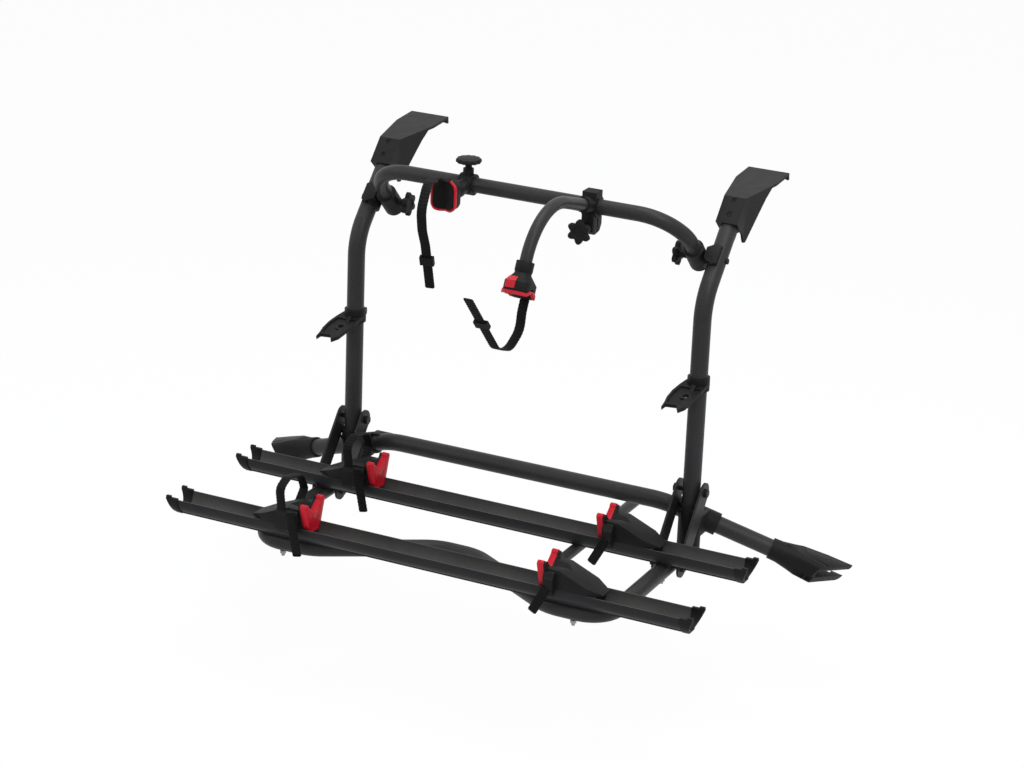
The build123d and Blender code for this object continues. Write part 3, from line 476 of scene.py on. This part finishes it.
def make_jaw(arm, origin, direction, across, bore=None, panel=False, edge=6.0):
    """Jaw with a V across its mouth, a zigzag coloured band round it and a dark pad inside."""
    origin, direction, across = Vector(origin), unit(direction), unit(across)
    put = axes(origin, direction)
    other = direction.cross(across)
    near, far, reach, width, height, corner = 46.0, 74.0, 23.0, 58.0, 68.0, 19
    back = near - 1

    def side(u, v, w):
        return origin + across * u + direction * v + other * w

    def groove(sunk):
        return prism([(-reach, far - sunk), (0, far - 12 - sunk), (reach, far - sunk), (reach, far + width),
                      (-reach, far + width)], side, -width, width)

    def block(grow, start, end):
        return prism(rounded(width + grow, height + grow, corner + grow / 2), put, start, end)

    def behind_band(grow):
        return cut(block(grow, back, far - 7), groove(7))

    def shape(grow):
        mouth = rounded(width + grow, height + grow, corner)
        rows = ((circle(39 + grow), 0), (circle(39 + grow), 21), (circle(36 + grow), 24), (circle(38 + grow), 28),
                (mouth, near), (mouth, far - 7))
        return loft([[put(u, v, w) for u, v in row] for row, w in rows])
    body = cut(shape(0), groove(7))
    if bore:
        body = cut(body, bore)
    rim = cut(block(4, far - 14, far), block(-2 * edge, back, far + 1), groove(0), behind_band(8))
    if panel:
        window = prism([(-20, 4), (3, 4), (3, 60), (-20, 60)], put, near - 10, far - 12)
        rim = fuse(rim, cut(overlap(shape(2.4), window), shape(0.6)))
    pad = cut(block(-2 * edge - 0.4, 55, far + 1), groove(-1), behind_band(0))
    for piece, part, slot, soft in ((body, "jaw", "plastic_black", 1.2), (rim, "jaw_rim", "plastic_red", 0.7),
                                    (pad, "jaw_pad", "rubber_black", 0.5)):
        dress(piece, "moulded", f"{arm}_{part}", slot, soft)


def make_jaws():
    """Jaw in front of the short arm's clamp, and the panelled jaw at the long arm's end."""
    make_jaw("short_arm", (SHORT_X, -84, BAR_Z), (0, -1, 0), (1, 0, 0), edge=3.0)
    axis = unit(ARM_END - ARM_KNEE)
    bore = rod(ARM_END - axis * 60, ARM_END + axis * 0.3, ARM_BORE)
    make_jaw("long_arm", ARM_END - axis * 20, axis, (0, axis.z, -axis.y), bore, True)


def rounded_line(points, radii):
    """Flat line with its corners rounded, as close-set points."""
    line = [Vector(points[0])]
    for before, corner, after, radius in zip(points, points[1:], points[2:], radii):
        before, corner, after = Vector(before), Vector(corner), Vector(after)
        into, out = (before - corner).normalized(), (after - corner).normalized()
        half = into.angle(out) / 2
        tangent = min(radius / math.tan(half), 0.49 * (before - corner).length, 0.49 * (after - corner).length)
        radius = tangent * math.tan(half)
        start, end = corner + into * tangent, corner + out * tangent
        centre = corner + (into + out).normalized() * (radius / math.sin(half))
        sweep = math.pi - 2 * half
        for step in range(13):
            share = step / 12
            arm = (start - centre) * math.sin((1 - share) * sweep) + (end - centre) * math.sin(share * sweep)
            line.append(centre + arm / math.sin(sweep) if sweep > 0.01 else start.lerp(end, share))
    line.append(Vector(points[-1]))
    return line


def ladder_strap(points, radii, origin, turn=0.0):
    """Rubber strap with cross rungs along a line of (forward, up) points, turned about Z."""
    strap_width, thick, thin, pitch = 21.0, 3.2, 1.7, 8.4
    rung = ((0.0, thick), (2.4, thick), (4.8, thick), (5.2, thin), (7.6, thin), (8.0, thick))
    line = rounded_line(points, radii)
    lengths = [0.0]
    for a, b in zip(line, line[1:]):
        lengths.append(lengths[-1] + (b - a).length)
    turn = math.radians(turn)
    wide = Vector((math.cos(turn), math.sin(turn), 0))
    origin = Vector(origin)

    def at(s):
        index = 0
        while index < len(line) - 2 and lengths[index + 1] < s:
            index += 1
        step = line[index + 1] - line[index]
        share = (s - lengths[index]) / max(lengths[index + 1] - lengths[index], 1e-6)
        return line[index] + step * share, step.normalized()
    stations, s = [], 0.0
    while s < lengths[-1] - 9:
        stations += [(s + ahead, depth) for ahead, depth in rung]
        s += pitch
    stations += [(s, thick), (lengths[-1] - 3, thick), (lengths[-1], thick)]
    rings = []
    for s, depth in stations:
        place, way = at(s)
        width = strap_width if s < lengths[-1] - 1 else strap_width - 6
        ring = []
        for u, v in ((-0.5, -0.5), (0.5, -0.5), (0.5, 0.5), (-0.5, 0.5)):
            p = place + Vector((-way.y, way.x)) * (depth * v)
            ring.append(origin + wide * (width * u) + Vector((p.x * math.sin(turn), -p.x * math.cos(turn), p.y)))
        rings.append(ring)
    return loft(rings)


def leant_tail(y, along, up, length, lean):
    """Strap end that hangs down in front of a buckle, leaning towards the middle."""
    tail, lean = ladder_strap([(0, 0), (0, -length)], [], (0, 0, 0)), math.radians(lean)
    for vert in tail.data.vertices:
        p = vert.co + ORIGIN
        down, out = -p.z, p.x
        vert.co = Vector((along * 0.001 + out * math.cos(lean) - down * math.sin(lean), y * 0.001 + p.y,
                          up * 0.001 - down * math.cos(lean) - out * math.sin(lean))) - ORIGIN
    return tail


def make_straps():
    """The arms' straps, and on each holder a tail, with a loop over the wheel's place on the left-hand side."""
    short = [(4, 744.5), (34, 744.5), (96, 772), (165, 775), (209, 728), (196, 680), (168, 640), (120, 529)]
    strap = ladder_strap(short, [40, 60, 40, 34, 60, 80], (SHORT_X, BAR_Y - 99, 0), 12)
    dress(strap, "ladder", "short_arm_strap", "rubber_black", 0.3)
    long = [(353.5, 595.4), (371.6, 557.5), (378, 520), (430, 492), (490, 512), (625, 658)]
    strap = ladder_strap(long, [60, 40, 50, 60], (LONG_X, 0, 0))
    dress(strap, "ladder", "long_arm_strap", "rubber_black", 0.3)
    side, buckle = RAIL_WIDTH / 2 + STRAP_GAP, 12.5
    looped = [(side, -10), (side, 34), (side + 10, 92), (side - 20, 107), (-side, 98), (-side - 20, 56), (-side, 34),
              (-side, 20)]
    for row, y in RAIL_Y.items():
        for hand, along, up, length, lean in TAILS:
            strap = leant_tail(y - side - buckle, along, up, length, lean)
            if hand == "left":
                strap = gather([ladder_strap(looped, [30, 18, 24, 30, 9, 7], (LOOP_X, y, 0)), strap])
            dress(for_hand(strap, hand), "ladder", f"{row}_{hand}_wheel_strap", "rubber_black", 0.3)


def make_buckles():
    """Ratchet housings on the holders' front flanks, each with a ribbed thumb lever."""
    for row, y in RAIL_Y.items():
        front = y - RAIL_WIDTH / 2 - 0.3
        for hand, low, high in (("left", 299.0, 352.0), ("right", 300.0, 324.0)):
            side_view = [(front, 40), (front - 6, 38), (front - 10, 28), (front - 10, -4), (front - 7, -14),
                         (front - 3, -14), (front, 2)]
            housing = yz_prism(side_view, low, high)
            middle = low + 14
            lever = [(front - 9, 30), (front - 14, 26), (front - 16, -2), (front - 13.5, -6), (front - 10, -2)]
            housing = fuse(housing, yz_prism(lever, middle - 10, middle + 10))
            for height in (2, 8, 14):
                housing = cut(housing, box((middle, front - 16.5, height), (22, 3, 2)))
            dress(for_hand(housing, hand), "ratchet", f"{row}_{hand}_strap_buckle", "plastic_black", 1.0)


def fork_outline(inset):
    """Forked face of a wheel holder: two round-tipped tines over a tapering foot."""
    tip, w = 35.0 - inset, 7.5 - inset / 2
    top, low = 60.0 - inset, 30.0 - inset
    half = [(tip - w, top - w)]
    for step in range(1, 12):
        turn = math.pi * (1 - step / 12)
        half.append((tip + w * math.cos(turn), top - w + w * math.sin(turn)))
    half += [(tip + w, top - w), (26.0, 0.3), (21.0, -13.0)]
    return [(0.0, low)] + half + [(-y, z) for y, z in reversed(half)]


def wheel_holder(y, start, end):
    """Ramp astride the rail on the right-hand side, with a valley behind the fork and a keel in the rail."""
    x0, x1, half = start + CHOCK_T, end, RAIL_WIDTH / 2
    profile = [(x0, 0.3), (x0, 44), (x0 + 34, 44), (x1 - 6, 6), (x1, 3), (x1, 0.3)]
    ramp = prism(profile, lambda u, v, w: Vector((u, y + w, v)), -half, half)
    plan = [(x0 - 5, -half), (x1 - half, -half), (x1 + 1, -half / 2), (x1 + 1, half / 2), (x1 - half, half),
            (x0 - 5, half)]
    ramp = overlap(ramp, prism(plan, lambda u, v, w: Vector((u, y + v, w)), -10, 100))
    keel = []
    for step in range(25):
        turn = math.pi * (1 + step / 24)
        keel.append(((half - 2.8) * math.cos(turn), max(35.2 * math.sin(turn), -28.3) + 0.6))
    keel = prism(keel, lambda u, v, w: Vector((w, y + u, v)), x0, x1 - 12)
    rise, run, depth = math.radians(14), 158, 24
    valley = [[Vector((x0 - 1 + run * k * math.cos(rise), y + u, v + run * k * math.sin(rise)))
               for u, v in ((-half - 1, depth + half + 1), (half + 1, depth + half + 1), (0, depth))] for k in (0, 1)]
    body = cut(fuse(ramp, keel), loft(valley))
    body = fuse(body, yz_prism([(y + u, v) for u, v in fork_outline(1.5)], x0, x0 + 5))
    for x in (LOOP_X, LOOP_X - 30):
        body = fuse(body, box((x, y + half + 3.9, 12), (STRAP_W + 4, 8, 16)))
    return body


def wheel_chock(y, start, _end):
    """Fork of soft plastic that the tyre rests against, with upright grooves."""
    fork = yz_prism([(y + u, v) for u, v in fork_outline(0)], start, start + CHOCK_T - 0.1)
    for offset in (-11.0, -4.0, 4.0, 11.0):
        top = 22 + abs(offset)
        fork = cut(fork, box((start, y + offset, top / 2 - 8), (3.4, 2.2, top)))
    return fork


def make_holders():
    """Holders and chocks of both rails and both hands."""
    for row, y in RAIL_Y.items():
        for maker, part, slot, soft in ((wheel_holder, "wheel_holder", "plastic_black", 1.4),
                                        (wheel_chock, "wheel_chock", "plastic_red", 1.6)):
            for hand, start, end in HOLDERS:
                dress(for_hand(maker(y, start, end), hand), "moulded", f"{row}_{hand}_{part}", slot, soft)


def make_feet():
    """Clamping boots on the lower tube's ends: a slot for the edge, a slanted mouth, and pockets between ribs."""
    end, pocket_end, pockets = 198, 176, 3
    start, bend = lower_point(586), lower_point(640)
    axis = unit(bend - start)
    put = axes(start, axis, Vector((0, 0, 1)).cross(axis))
    reach = (bend - start).length

    def ring(outline, along):
        return [put(u, v, along) for u, v in outline]
    foot = loft([ring(circle(49), 0), ring(circle(50), 20), ring(rounded(62, 53, 20), reach - 10),
                 ring(rounded(72, 55, 16), reach + 8), ring(rounded(90, 52, 11), 128), ring(rounded(96, 50, 9), end)])
    ridge = loft([ring([(-5, 20), (5, 20), (5, 27), (-5, 27)], reach / 2),
                  ring([(-33, 20), (33, 20), (33, 27.5), (-33, 27.5)], end)])
    foot = fuse(foot, ridge)
    foot = cut(foot, rod(start - axis * 30, bend + axis * 0.3, POST_BORE))
    foot = cut(foot, prism(rounded(200, 20, 6), put, 114, 240))
    corners = [(-120, -80), (120, -80), (120, 80), (-120, 80)]
    slant = loft([[put(u, v, 142 + 0.81 * u + 0.36 * v) for u, v in corners], ring(corners, 400)])
    foot = cut(foot, slant)
    pitch = (pocket_end - reach) / (pockets + 1)
    for middle in (-48, 48):
        pocket = [(middle - 15, -20), (middle + 15, -20), (middle + 15, -8), (middle - 15, -8)]
        for index in range(pockets):
            low = reach + pitch * (index + 0.2)
            foot = cut(foot, prism(pocket, put, low, low + pitch - 5))
    for hand, piece in (("left", mirrored(foot)), ("right", foot)):
        dress(piece, "moulded", f"{hand}_foot", "plastic_black", 1.2)


def make_tees():
    """Joints that carry the lower tube behind the posts: two bored collars with a web, a tongue and two screws."""
    collar = rod((POST_X, 0, -70), (POST_X, 0, 55), 52)
    inner, outer = lower_point(POST_X - 34), lower_point(POST_X + 38)
    middle = lower_point(POST_X)
    tee = fuse(collar, rod(inner, outer, 52), box((POST_X, middle.y / 2, middle.z), (46, middle.y, 46)),
               box((inner.x - 15, inner.y, inner.z + 24.5), (42, 26, 3)))
    way = unit(outer - inner)
    tee = cut(tee, rod((POST_X, 0, -90), (POST_X, 0, 75), POST_BORE),
              rod(inner - way * 60, outer + way * 60, POST_BORE))
    for x in (POST_X - 14, POST_X + 14):
        tee = fuse(tee, rod((x, -20, 40), (x, -28.5, 40), 9))
    dress(gather([tee, mirrored(tee)]), "moulded", "tee_joints", "plastic_black", 1.5)


def make_bar_clamps():
    """Rings on the posts with a hexagonal block in front, bored for the post and for the clamp bolt."""
    origin = Vector((POST_X, CROSS_Y, CROSS_Z))
    socket_face, half_height = 404, 23

    def across(x0, x1, diameter):
        return rod((x0, CROSS_Y, CROSS_Z), (x1, CROSS_Y, CROSS_Z), diameter)
    clamp = rod(origin - POST_DIR * half_height, origin + POST_DIR * half_height, 52)
    clamp = fuse(clamp, prism(hexagon(25, 0.5), axes(origin, POST_FACE), 0, 31))
    clamp = cut(clamp, rod(origin - POST_DIR * 46, origin + POST_DIR * 46, POST_BORE))
    clamp = cut(clamp, box((POST_X + 59, CROSS_Y + 30, CROSS_Z - 30), (100, 150, 150)))
    clamp = cut(clamp, box((socket_face - 50, CROSS_Y, CROSS_Z), (100, 200, 200)))
    clamp = cut(clamp, across(384, POST_X, BOLT_BORE), across(POST_X - 23.2, POST_X, 13.2))
    clamp = fuse(clamp, across(POST_X + 18, POST_X + 24, 13))
    dress(gather([clamp, mirrored(clamp)]), "moulded", "bar_clamps", "plastic_black", 1.2)


def make_long_clamp():
    """Clamp of the long arm: a C round the crossbar with a ridged lip on top and a slotted lug below."""
    x, width, bolt_z = LONG_X, 34, BAR_Z - 44
    axis = unit(ARM_KNEE - ARM_START)
    clamp = fuse(rod((x - width / 2, BAR_Y, BAR_Z), (x + width / 2, BAR_Y, BAR_Z), 49),
                 rod((x, BAR_Y, BAR_Z), ARM_START + axis * 26, 35), box((x, BAR_Y - 2, BAR_Z + 25), (width, 32, 20)))
    lug = [(BAR_Y - 23, BAR_Z - 10), (BAR_Y + 23, BAR_Z - 10), (BAR_Y + 23, BAR_Z - 44), (BAR_Y + 14, BAR_Z - 57),
           (BAR_Y, BAR_Z - 61), (BAR_Y - 14, BAR_Z - 61), (BAR_Y - 23, BAR_Z - 52)]
    clamp = fuse(clamp, yz_prism(lug, x - 14, x + 14))
    for offset in (-10, -3, 4, 11):
        clamp = cut(clamp, box((x, BAR_Y - 2 + offset, BAR_Z + 35), (40, 2.5, 3)))
    clamp = cut(clamp, rod((x - 68, BAR_Y, BAR_Z), (x + 68, BAR_Y, BAR_Z), BAR_BORE),
                rod(ARM_START, ARM_START + axis * 60, ARM_BORE), box((x, BAR_Y, BAR_Z - 42), (40, 4, 56)),
                rod((x, BAR_Y - 60, bolt_z), (x, BAR_Y + 60, bolt_z), BOLT_BORE))
    dress(clamp, "moulded", "long_arm_clamp", "plastic_black", 1.2)


def make_top_hooks():
    """Hooks over the door's edge: sleeve on the post, front face, top plate with a lip, side walls and a rib."""
    reach, lip_y, lip_z, wall, wing = 24, 345.0, 738.0, 6, 49
    foot = POST_TOP - POST_DIR * 44
    front = foot + POST_FACE * reach
    knee = front + POST_DIR * 66
    back = foot - POST_FACE * reach
    slope = (lip_z - knee.z) / (lip_y - knee.y)

    def under(y):
        return lip_z - wall + slope * (y - lip_y)
    outline = [(front.y, front.z), (knee.y, knee.z), (lip_y, lip_z), (347, 722), (341, 722), (339, under(339)),
               (252, under(252)), (230, 706), (209, 683), (155, 622), (149, 622), (back.y + 3, 634), (back.y, back.z)]
    low, high = POST_X - wing, POST_X + wing

    def taper(inset):
        rows = ((-212, 24), (148, 26), (270, wing), (700, wing))
        plan = [(POST_X + w - inset, y) for y, w in rows] + [(POST_X - w + inset, y) for y, w in reversed(rows)]
        return prism(plan, lambda u, v, w: Vector((u, v, w)), -100, 1500)
    shell = overlap(yz_prism(outline, low - 5, high + 5), taper(0))
    inner, inner_knee, floor = front - POST_FACE * wall, knee - POST_FACE * wall, 583
    pocket = [(inner.y, inner.z), (inner_knee.y, inner_knee.z), (lip_y, under(lip_y)), (lip_y, floor),
              (inner.y, floor)]
    hollow = overlap(yz_prism(pocket, low, high), taper(5))
    hollow = cut(hollow, box((POST_X, 212, 718), (5, 200, 300)))
    centre = Vector((POST_X, 0, 0))
    base, top = centre + foot - POST_DIR * 40, centre + POST_TOP + POST_DIR * 6
    sleeve = overlap(rod(base, top, 48), yz_prism(outline, low - 5, high + 5))
    hook = fuse(cut(shell, hollow), sleeve)
    hook = cut(hook, rod(base, centre + POST_TOP + POST_DIR * 0.3, POST_BORE))
    screws = []
    for along in (205.0, 239.0):
        face = centre + POST_CORNER + POST_DIR * along + POST_FACE * reach

        def sunk(start, end, diameter):
            return rod(face - POST_FACE * start, face - POST_FACE * end, diameter)
        hook = cut(hook, sunk(3.6, -60, 13), sunk(16, 0, 8))
        screw = fuse(sunk(14, 2, 7.6), sunk(3.4, 1, 11.6))
        screws.append(cut(screw, prism(hexagon(3), axes(face, POST_FACE), -3, 5)))
    screws += [mirrored(screw) for screw in screws]
    for hand, piece in (("left", mirrored(hook)), ("right", hook)):
        dress(piece, "moulded", f"{hand}_top_hook", "plastic_black", 1.6)
    dress(gather(screws), "socket", "hook_screws", "steel_dark", 0.4)


def make_end_caps():
    """Scoop-shaped caps on the rails' ends, cut on a slant, with a small raised tab on each lip."""
    caps, steps = [], 32
    half, depth, inner_half, inner_depth, lip_z = 36.2, 40.7, 28.5, 33.0, 2.7
    flat_half, flat_z = 14, -38.6
    for y in RAIL_Y.values():
        outer, inner = [(half, lip_z)], [(inner_half, lip_z)]
        for step in range(steps + 1):
            turn = -math.pi * step / steps
            reach, low = half * math.cos(turn), depth * math.sin(turn)
            outer.append((reach, min(low, flat_z) if abs(reach) < flat_half else low))
            inner.append((inner_half * math.cos(turn), inner_depth * math.sin(turn)))
        outline = outer + [(-half, lip_z), (-inner_half, lip_z)] + inner[::-1][:-1] + [(inner_half, lip_z)]
        cap = loft([[Vector((x + slant * min(v, 0.0), y + u, v)) for u, v in outline]
                    for x, slant in ((611.0, 0.0), (640.0, 0.404))])
        for lip in (-1, 1):
            cap = fuse(cap, box((634, y + lip * 32.3, 3.8), (11.5, 6.6, 6)))
        caps += [mirrored(cap), cap]
    dress(gather(caps), "moulded", "rail_end_caps", "plastic_black", 0.9)


make_knobs()
make_jaws()
make_straps()
make_buckles()
make_holders()
make_feet()
make_tees()
make_bar_clamps()
make_long_clamp()
make_top_hooks()
make_end_caps()


def lay_floor():
    """Pale floor under the carrier, mostly white to the camera, with the carrier's soft shadow on it."""
    below, white_share = 0.22, 0.93
    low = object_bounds()[0]
    bm = bmesh.new()
    bmesh.ops.create_grid(bm, x_segments=1, y_segments=1, size=14.0)
    floor = as_object(bm)
    floor.name = floor.data.name = "floor"
    floor.location = (0.0, 0.0, low[2] - below)
    n = Nodes("pale_floor")
    n.shader.inputs["Base Color"].default_value = (0.93, 0.93, 0.93, 1.0)
    n.shader.inputs["Roughness"].default_value = 0.9
    n.shader.inputs["Specular IOR Level"].default_value = 0.1
    glow = n.add("ShaderNodeEmission", Strength=1.0)
    blend = n.add("ShaderNodeMixShader")
    n.link(n.calc("MULTIPLY", direct_rays(n.tree), white_share), blend.inputs[0])
    n.link(n.shader.outputs[0], blend.inputs[1])
    n.link(glow.outputs[0], blend.inputs[2])
    n.link(blend.outputs[0], n.tree.nodes["Material Output"].inputs["Surface"])
    floor.data.materials.append(n.material)


def light_scene():
    """Soft room light that the camera sees as white, with a key lamp on the right, a fill and a top lamp."""
    world = bpy.data.worlds.new("soft_room")
    bpy.context.scene.world = world
    world.use_nodes = True
    tree = world.node_tree
    tree.nodes.clear()
    out = tree.nodes.new("ShaderNodeOutputWorld")
    blend = tree.nodes.new("ShaderNodeMixShader")
    tree.links.new(direct_rays(tree), blend.inputs[0])
    for socket, colour, strength in ((1, (0.95, 0.97, 1.0, 1.0), 0.62), (2, (1.0, 1.0, 1.0, 1.0), 1.0)):
        background = tree.nodes.new("ShaderNodeBackground")
        background.inputs["Color"].default_value = colour
        background.inputs["Strength"].default_value = strength
        tree.links.new(background.outputs[0], blend.inputs[socket])
    tree.links.new(blend.outputs[0], out.inputs["Surface"])
    for name, place, size, power in (("key", (2.2, -2.0, 2.8), 2.4, 60.0), ("fill", (-2.6, -2.4, 1.8), 2.6, 22.0),
                                     ("top", (0.2, -0.2, 3.2), 2.6, 62.0)):
        lamp = bpy.data.lights.new(name, "AREA")
        lamp.shape = "DISK"
        lamp.size = size
        lamp.energy = power
        holder = bpy.data.objects.new(name, lamp)
        holder.location = place
        aim = Vector((0.0, -0.3, -0.35)) - Vector(place)
        holder.rotation_euler = aim.to_track_quat("-Z", "Y").to_euler()
        bpy.context.collection.objects.link(holder)


def set_camera():
    """Camera at the photograph's place: azimuth, elevation and roll in degrees, position in the drawing frame."""
    azimuth, elevation, roll = (math.radians(v) for v in (25.59, 20.05, -2.30))
    place, focal_pixels, image_width, sensor = Vector((2.62079, -5.51811, 2.47758)), 2878.23, 1024.0, 36.0
    back = Vector((math.sin(azimuth) * math.cos(elevation), -math.cos(azimuth) * math.cos(elevation),
                   math.sin(elevation)))
    side = Vector((math.cos(azimuth), math.sin(azimuth), 0.0))
    up = back.cross(side)
    right = side * math.cos(roll) - up * math.sin(roll)
    top = side * math.sin(roll) + up * math.cos(roll)
    data = bpy.data.cameras.new("camera")
    data.sensor_width = sensor
    data.lens = focal_pixels / image_width * sensor
    data.clip_end = 60.0
    camera = bpy.data.objects.new("camera", data)
    turn = Matrix((right, top, back)).transposed().to_4x4()
    camera.matrix_world = Matrix.Translation(place - ORIGIN) @ turn
    bpy.context.collection.objects.link(camera)
    bpy.context.scene.camera = camera


lay_floor()
light_scene()
set_camera()
bpy.context.scene.view_settings.view_transform = "Standard"
